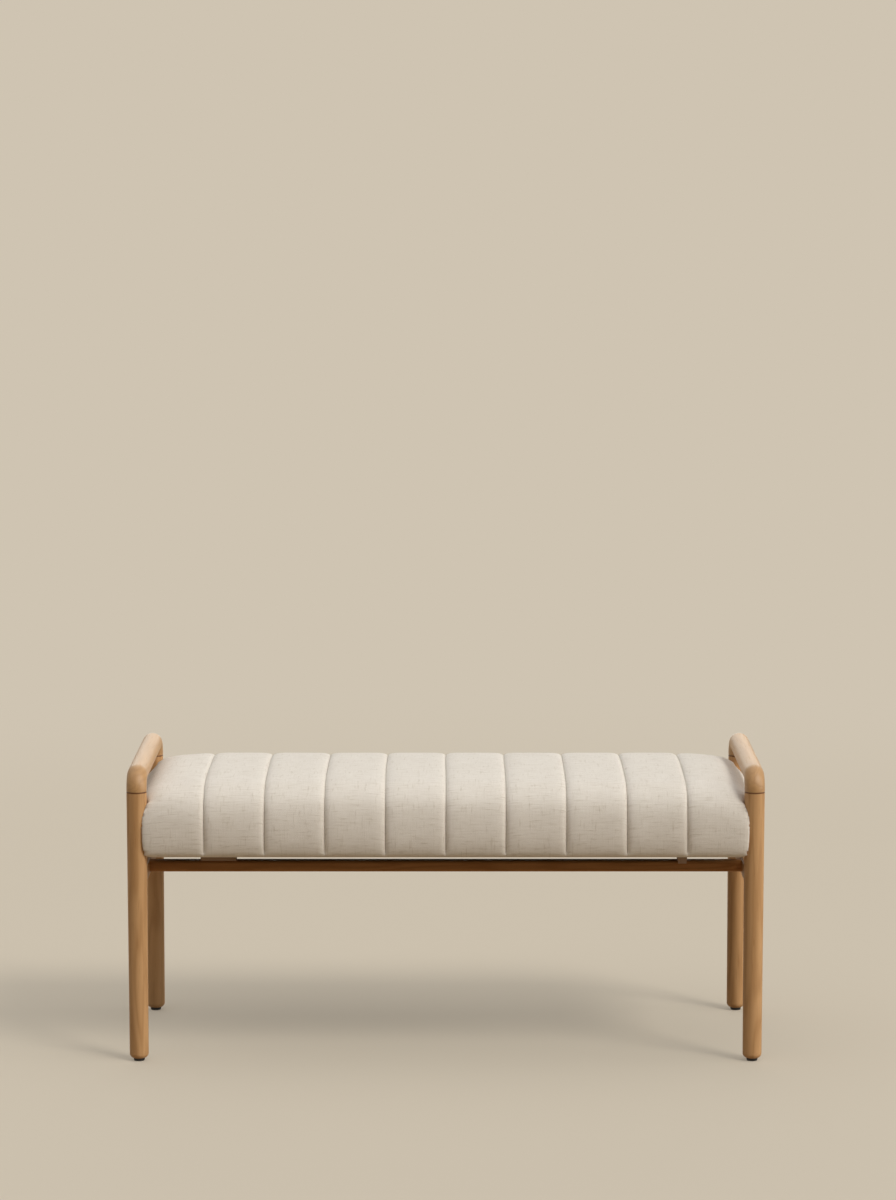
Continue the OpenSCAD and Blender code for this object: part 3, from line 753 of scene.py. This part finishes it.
def notched_prism(name, grow, low, high):
    """A flat block with the seat board's outline, moved out by grow, between two heights."""
    x, y = BOARD_HIGH[0] + grow, BOARD_HIGH[1] + grow
    nx, ny = LEG_X - CORNER_ROOM + grow, LEG_Y - CORNER_ROOM + grow
    corner = [(x, ny), (nx, ny), (nx, y)]
    plan = corner + [(-a, b) for a, b in reversed(corner)]
    plan += [(-a, -b) for a, b in corner] + [(a, -b) for a, b in reversed(corner)]
    n = len(plan)
    points = [(a, b, z) for z in (low, high) for a, b in plan]
    faces = [tuple(range(n - 1, -1, -1)), tuple(range(n, 2 * n))]
    faces += [(i, (i + 1) % n, n + (i + 1) % n, n + i) for i in range(n)]
    return mesh_object(name, points, faces)


def foam_form(name, size):
    """The CAD foam with its long top edges rounded further, so that the seams stay clear of it."""
    foam = copy_node("foam_core", name)
    apply(foam, "REMESH", mode="VOXEL", voxel_size=6 * MM)
    points = coords(foam)
    high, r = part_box("foam_core")[1], size.foam_round
    across = np.maximum(np.abs(points[:, 1]) - (high[1] - r), 0)
    upward = np.maximum(points[:, 2] - (high[2] - r), 0)
    pull = np.minimum(1, r / np.maximum(np.hypot(across, upward), r))
    points[:, 1] -= np.sign(points[:, 1]) * across * (1 - pull)
    points[:, 2] -= upward * (1 - pull)
    set_coords(foam, points)
    apply(foam, "SMOOTH", iterations=3)
    return foam


def hollow_cushion(body, size):
    """Opens the cover underneath, behind its hem, and makes room in it for the foam and the board."""
    hem = 28 * MM
    foam = foam_form("foam_room", size)
    with editing(foam):
        bpy.ops.transform.shrink_fatten(value=ROOM_GAP)
    cut(body, foam)
    cut(body, notched_prism("board_room", ROOM_GAP, BOARD_LOW[2] - 0.02 * MM, BOARD_HIGH[2] + ROOM_GAP))
    cut(body, notched_prism("hem_room", -hem, BOARD_LOW[2] - 20 * MM, BOARD_LOW[2] + 1 * MM))


# Dust cover and staples


def dust_notch():
    """The corner of the dust cover's notch beside a leg."""
    inset = BOARD_HIGH[1] - DUST_HIGH[1]
    return LEG_X - CORNER_ROOM - inset, LEG_Y - CORNER_ROOM - inset


def grid_lines(end, notch, fold):
    """Places of a grid's lines, with lines at the notches and on both sides of each fold."""
    special = [end, notch]
    special += [edge - fold + d * MM for edge in (end, notch) for d in (-0.4, 0.4)]
    even = [v for v in np.arange(0, end, 8 * MM) if min(abs(v - q) for q in special) > 2.5 * MM]
    half = sorted([*special, *even])
    return [-v for v in reversed(half) if v > 0] + half


def looseness(far, tight, run):
    """How loose the cloth is this far from what holds it: not at all up to tight, and fully after run."""
    return clamped((far - tight) / run) ** 0.7


def dust_sheet(size):
    """The dust cover: thin cloth, tight where it is stapled and clamped, and a little slack elsewhere."""
    x_end, y_end = DUST_HIGH[:2]
    nx, ny = dust_notch()
    xs, ys = grid_lines(x_end, nx, size.dust_fold), grid_lines(y_end, ny, size.dust_fold)
    x, y = (v.ravel() for v in np.meshgrid(xs, ys, indexing="ij"))
    ax, ay = np.abs(x), np.abs(y)
    to_notch = np.hypot(np.maximum(nx - ax, 0), np.maximum(ny - ay, 0))
    to_edge = np.minimum(np.minimum(x_end - ax, y_end - ay), to_notch)
    slack = looseness(to_edge, 14 * MM, 70 * MM)
    for node in HOLDERS:
        low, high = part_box(node)
        outside = [np.maximum(np.maximum(low[k] - v, v - high[k]), 0) for k, v in enumerate((x, y))]
        slack *= looseness(np.hypot(*outside), 2 * MM, 60 * MM)
    # Between two staples the edge hangs in a shallow wave
    along = np.where(x_end - ax < y_end - ay, y, x)
    wave = (1 - np.cos(math.tau * along / size.staple_pitch)) / 2 * np.exp(-to_edge / (22 * MM))
    hang = size.dust_sag * slack + 0.25 * MM * wave * np.minimum(slack * 4 + 0.3, 1)
    top = DUST_HIGH[2] - 0.02 * MM - hang
    bottom = top - np.where(to_edge < size.dust_fold, 0.5, 0.25) * MM
    m, n = len(xs), len(ys)
    cells = [
        (i, j)
        for i in range(m - 1)
        for j in range(n - 1)
        if not (abs(xs[i] + xs[i + 1]) / 2 > nx and abs(ys[j] + ys[j + 1]) / 2 > ny)
    ]
    quads = [(i * n + j, (i + 1) * n + j, (i + 1) * n + j + 1, i * n + j + 1) for i, j in cells]
    sides = {(q[k], q[(k + 1) % 4]) for q in quads for k in range(4)}
    rim = [(b, a, a + m * n, b + m * n) for a, b in sides if (b, a) not in sides]
    faces = quads + [tuple(v + m * n for v in reversed(q)) for q in quads] + rim
    used = sorted({v for f in faces for v in f})
    place = {v: k for k, v in enumerate(used)}
    points = np.concatenate([np.stack([x, y, z], axis=1) for z in (top, bottom)])
    sheet = mesh_object("dust_sheet", points[used], [tuple(place[v] for v in f) for f in faces])
    for node in HOLDERS:
        screw_y = middle(node.replace("seat_clip", "spacer_block"), 1)
        cut(sheet, upright_rod(SCREW_ROOM, 20 * MM, (middle(node, 0), screw_y, DUST_HIGH[2]), 32))
    return sheet


def choose(obj, kind, test):
    """In edit mode, selects only the faces or edges whose corners pass the test."""
    bpy.ops.mesh.select_mode(type=kind)
    bpy.ops.mesh.select_all(action="DESELECT")
    bm = bmesh.from_edit_mesh(obj.data)
    for item in bm.faces if kind == "FACE" else bm.edges:
        item.select_set(test([v.co for v in item.verts]))
    bmesh.update_edit_mesh(obj.data)


def staple(size):
    """One wire staple, points up, with its back's underside at height 0."""
    half, wire, thick = size.staple_crown / 2, size.staple_wire, size.staple_wire / 2
    near = 0.01 * MM
    bpy.ops.mesh.primitive_cube_add(size=1, location=(0, 0, thick / 2), scale=(2 * half, wire, thick))
    wired = bpy.context.object
    bpy.ops.object.transform_apply()

    def leg_root(c):
        return all(abs(p.x) > half - thick - near and p.z > thick - near for p in c)

    def outer_bend(c):
        return abs(c[0].y - c[1].y) > near and all(abs(p.x) > half - near and p.z < near for p in c)

    with editing(wired):
        for side in (-1, 1):
            bpy.ops.mesh.select_all(action="SELECT")
            bpy.ops.mesh.bisect(plane_co=(side * (half - thick), 0, 0), plane_no=(1, 0, 0))
        choose(wired, "FACE", leg_root)
        bpy.ops.mesh.extrude_region_move(TRANSFORM_OT_translate={"value": (0, 0, size.staple_leg)})
        choose(wired, "EDGE", outer_bend)
        bpy.ops.mesh.bevel(offset=thick * 0.8, segments=2, affect="EDGES")
    return wired


def staple_places(size):
    """Where the staples stand along the dust cover's edge: x, y and turn of each."""
    nx, ny = dust_notch()
    inset = size.dust_fold * 0.5
    places = []
    for end, reach, turn in ((DUST_HIGH[1], nx, 0.0), (DUST_HIGH[0], ny, math.radians(90))):
        run = reach - 16 * MM
        count = round(2 * run / size.staple_pitch) + 1
        for side in (-1, 1):
            for along in np.linspace(-run, run, count):
                where = (along, side * (end - inset))
                places.append((*(where[::-1] if turn else where), turn))
    corner = inset * 1.4
    places += [(sx * (nx - corner), sy * (ny - corner), -sx * sy * math.radians(45)) for sx, sy in CORNERS]
    return places


def all_staples(size):
    """All the staples as one mesh, with their backs flat under the dust cover."""
    pattern = staple(size)
    shape, shape_faces = coords(pattern), [tuple(f.vertices) for f in pattern.data.polygons]
    bpy.data.objects.remove(pattern, do_unlink=True)
    back = DUST_LOW[2] - size.staple_wire / 2
    points, faces = [], []
    for x, y, turn in staple_places(size):
        faces += [tuple(v + len(points) for v in f) for f in shape_faces]
        c, s = math.cos(turn), math.sin(turn)
        points += [(x + c * px - s * py, y + s * px + c * py, back + pz) for px, py, pz in shape]
    return mesh_object("staples", points, faces)


# Stage


def set_camera(scene, stage):
    """The camera in front of the bench, looking down a little."""
    lens = bpy.data.cameras.new("camera")
    lens.lens = stage.lens
    camera = bpy.data.objects.new("camera", lens)
    camera.location = (stage.aside, -stage.distance, stage.height)
    camera.rotation_euler = (math.radians(90) - stage.pitch, 0, 0)
    scene.collection.objects.link(camera)
    scene.camera = camera


def lay_floor(stage, ground):
    """A wide floor that fades into the backdrop, keeps some tone in shadow and is clear from below."""
    bpy.ops.mesh.primitive_circle_add(vertices=96, radius=14, fill_type="NGON", location=(0, 0, 0))
    floor = bpy.context.object
    floor.name = "floor"
    material, t, shader = new_material("studio_floor")
    place = t.object_place()
    tone = t.blend(t.remap(t.noise(place, 1.6, 3.0), 0.2, 0.8), ground, [c * 0.992 for c in ground])
    thrown = [c * stage.bounce * share for c, share in zip(ground, (1.0, 0.86, 0.69))]
    by_camera = t.add("ShaderNodeLightPath").outputs["Is Camera Ray"]
    t.put(shader, Base_Color=t.blend(by_camera, thrown, tone), Roughness=1.0, Specular_IOR_Level=0.0)
    away = t.add("ShaderNodeVectorMath", operation="LENGTH")
    t.feed(away.inputs[0], place)
    fade = t.maths("MULTIPLY", t.remap(away.outputs["Value"], 2.0, 4.0, stage.lift, 1.0), t.seen())
    glow = t.add("ShaderNodeEmission")
    t.put(glow, Color=(*ground, 1))
    above = t.mix_shaders(fade, shader.outputs[0], glow.outputs[0])
    below = t.add("ShaderNodeBsdfTransparent").outputs[0]
    from_below = t.add("ShaderNodeNewGeometry").outputs["Backfacing"]
    t.put(material.node_tree.nodes["Material Output"], Surface=t.mix_shaders(from_below, above, below))
    floor.data.materials.append(material)


def hang_lamps(scene, stage):
    """A key lamp in front, low lamps at the right and behind, and a broad one overhead."""
    for name, energy, softness, toward, tone in (
        ("key", stage.key, stage.key_softness, (0.32, -0.27, 0.42), (1.0, 0.965, 0.9)),
        ("side", stage.side, stage.low_softness, (0.95, -0.15, 0.26), (1.0, 0.98, 0.94)),
        ("rim", stage.rim, stage.low_softness, (0.0, 0.96, 0.28), (0.93, 1.0, 0.98)),
        ("top", stage.top, stage.top_softness, (0.0, 0.0, 1.0), (1.0, 1.01, 1.04)),
    ):
        lamp = bpy.data.lights.new(name, "SUN")
        lamp.energy = energy
        lamp.angle = softness
        lamp.color = tone
        hung = bpy.data.objects.new(name, lamp)
        hung.rotation_euler = Vector(toward).to_track_quat("Z", "Y").to_euler()
        scene.collection.objects.link(hung)


def light_room(scene, stage, ground):
    """Soft light that grows towards the ceiling, and a plain backdrop for the camera."""
    world = bpy.data.worlds.new("studio")
    world.use_nodes = True
    scene.world = world
    t = Tree(world.node_tree)
    up = t.maths("MAXIMUM", t.split(t.add("ShaderNodeTexCoord").outputs["Generated"])[2], 0.0)
    level = t.maths("ADD", t.maths("MULTIPLY", t.maths("MULTIPLY", up, up), stage.sky_high), stage.sky_low)
    light = world.node_tree.nodes["Background"]
    t.put(light, Color=(1.0, 0.997, 0.99, 1), Strength=level)
    backdrop = t.add("ShaderNodeBackground")
    t.put(backdrop, Color=(*ground, 1))
    surface = t.mix_shaders(t.seen(), light.outputs[0], backdrop.outputs[0])
    t.put(world.node_tree.nodes["World Output"], Surface=surface)


# Operators


class BENCH_OT_stage(bpy.types.Operator):
    """Sets the floor, the lamps and the camera"""

    bl_idname = "bench.stage"
    bl_label = "Stage"

    def execute(self, context):
        scene = context.scene
        stage = scene.bench_stage
        ground = scene.bench_colours.ground
        set_camera(scene, stage)
        lay_floor(stage, ground)
        hang_lamps(scene, stage)
        light_room(scene, stage, ground)
        scene.view_settings.view_transform = "Standard"
        return {"FINISHED"}


class BENCH_OT_seat(bpy.types.Operator):
    """Makes the quilted linen cover of the seat"""

    bl_idname = "bench.seat"
    bl_label = "Quilted cover"

    def execute(self, context):
        size = context.scene.bench_sizes
        colours = context.scene.bench_colours
        body = cushion_body(size)
        fill_cushion(body, size)
        quilt_cushion(body, size)
        set_coords(body, keep_clear(coords(body), size))
        hollow_cushion(body, size)
        lay_weave(body)
        smooth_shade(body)
        finish_piece(body, linen_material(colours.linen, colours.linen_dark))
        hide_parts("cushion_cover")
        return {"FINISHED"}


class BENCH_OT_foam(bpy.types.Operator):
    """Makes the foam inside the seat"""

    bl_idname = "bench.foam"
    bl_label = "Foam"

    def execute(self, context):
        foam = foam_form("foam_slab", context.scene.bench_sizes)
        smooth_shade(foam)
        material = plain_material("open_foam", (0.86, 0.78, 0.5), (0.7, 0.6, 0.34), 900, 0.9, depth=0.6 * MM)
        finish_piece(foam, material)
        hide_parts("foam_core")
        return {"FINISHED"}


class BENCH_OT_dust_cover(bpy.types.Operator):
    """Makes the dust cover under the seat and the staples that hold it"""

    bl_idname = "bench.dust_cover"
    bl_label = "Dust cover and staples"

    def execute(self, context):
        size = context.scene.bench_sizes
        sheet = dust_sheet(size)
        smooth_shade(sheet, 30)
        finish_piece(sheet, felt_material())
        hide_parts("dust_cover")
        staples = all_staples(size)
        smooth_shade(staples, 40)
        wire = plain_material("staple_wire", (0.6, 0.6, 0.58), (0.42, 0.42, 0.41), 900, 0.35, metal=1.0)
        finish_piece(staples, wire)
        return {"FINISHED"}


class BENCH_OT_wood(bpy.types.Operator):
    """Gives the legs, arms, rails, blocks and dowels their wood"""

    bl_idname = "bench.wood"
    bl_label = "Wood finishes"

    def execute(self, context):
        colours = context.scene.bench_colours
        # The turns that lay the grain along a piece
        upright, along_x, along_y = (0, 0, 0), (0, math.radians(90), 0), (math.radians(90), 0, 0)
        # Turn of the grain, height of the joint, strength of the grain, gloss, and a factor on both colours: a
        # tint on the legs, and painted shade on the rest, a little on the side rails, more on the arms, whose
        # tops catch the strongest light, and most on the long rails, which lie in the seat's shadow
        leg = upright, LEG_TOP, 1.0, 0.3, (1.08, 1.15, 1.3)
        arm = along_y, LEG_TOP, 0.6, 0.75, (0.83, 0.84, 0.8)
        side_rail_painted_shade = along_y, None, 1.0, 0.3, (0.95, 0.93, 0.9)
        long_rail_painted_shade = along_x, None, 1.0, 0.0, (0.78, 0.67, 0.58)
        for node, seed, (turn, joint, strength, gloss, shade) in (
            ("leg_front_left", 0.0, leg),
            ("leg_front_right", 3.0, leg),
            ("leg_back_left", 7.0, leg),
            ("leg_back_right", 11.0, leg),
            ("arm_left", 1.5, arm),
            ("arm_right", 5.5, arm),
            ("side_rail_left", 2.2, side_rail_painted_shade),
            ("side_rail_right", 6.1, side_rail_painted_shade),
            ("rail_front", 4.4, long_rail_painted_shade),
            ("rail_back", 8.3, long_rail_painted_shade),
        ):
            # Both oak colours times the piece's factor, which holds the painted shade of the arms and rails
            light, dark = ([c * k for c, k in zip(tone, shade)] for tone in (colours.oak, colours.oak_grain))
            paint(wood_material(f"oak_{node}", light, dark, turn, seed, joint, strength, gloss), node)
        beech = (0.68, 0.5, 0.32), (0.5, 0.34, 0.2)
        paint(wood_material("beech_upright", *beech, upright, 9.0), "arm_dowels")
        paint(wood_material("beech_across", *beech, along_y, 9.5), "side_rail_dowels")
        stained = wood_material("stained_block", (0.55, 0.38, 0.27), (0.36, 0.235, 0.16), along_x, 2.7)
        paint(stained, "spacer_block_front", "spacer_block_back")
        ply = (0.62, 0.46, 0.28), (0.46, 0.31, 0.17)
        paint(wood_material("plywood_face", *ply, along_x, 1.1), "seat_board")
        return {"FINISHED"}


class BENCH_OT_hardware(bpy.types.Operator):
    """Gives the metal and plastic pieces their finishes"""

    bl_idname = "bench.hardware"
    bl_label = "Metal and plastic"

    def execute(self, context):
        zinc = (0.62, 0.61, 0.58), (0.45, 0.45, 0.44)
        zinc_plate = plain_material("zinc_plate", *zinc, 700, 0.38, metal=1.0, depth=0.04 * MM)
        paint(zinc_plate, "rail_bolts", "barrel_nuts", "seat_screws", "t_nuts", "glide_nails")
        black = (0.018, 0.018, 0.018), (0.03, 0.03, 0.032)
        moulded_black = plain_material("moulded_black", *black, 1400, 0.5, depth=0.05 * MM)
        paint(moulded_black, "glide_front_left", "glide_front_right", "glide_back_left", "glide_back_right")
        brown = (0.36, 0.22, 0.14), (0.5, 0.33, 0.22)
        moulded_brown = plain_material("moulded_brown", *brown, 1200, 0.42, depth=0.05 * MM)
        paint(moulded_brown, "seat_clip_front", "seat_clip_back")
        return {"FINISHED"}


class BENCH_PT_panel(bpy.types.Panel):
    """Sizes, colours and steps of the bench"""

    bl_idname = "BENCH_PT_panel"
    bl_label = "Upholstered bench"
    bl_space_type = "VIEW_3D"
    bl_region_type = "UI"
    bl_category = "Bench"

    def draw(self, context):
        layout = self.layout
        for name in GROUPS:
            values = getattr(context.scene, name)
            box = layout.box()
            for key in type(values).__annotations__:
                box.prop(values, key)
        for step in STEPS:
            layout.operator(step.bl_idname)


GROUPS = {"bench_sizes": BenchSizes, "bench_colours": BenchColours, "bench_stage": BenchStage}
STEPS = [BENCH_OT_stage, BENCH_OT_seat, BENCH_OT_foam, BENCH_OT_dust_cover, BENCH_OT_wood, BENCH_OT_hardware]
CLASSES = [*GROUPS.values(), *STEPS, BENCH_PT_panel]


def register():
    for kind in CLASSES:
        bpy.utils.register_class(kind)
    for name, kind in GROUPS.items():
        setattr(bpy.types.Scene, name, PointerProperty(type=kind))


def unregister():
    for name in GROUPS:
        delattr(bpy.types.Scene, name)
    for kind in reversed(CLASSES):
        bpy.utils.unregister_class(kind)


def main():
    register()
    for step in STEPS:
        area, name = step.bl_idname.split(".")
        getattr(getattr(bpy.ops, area), name)()


if __name__ == "__main__":
    main()
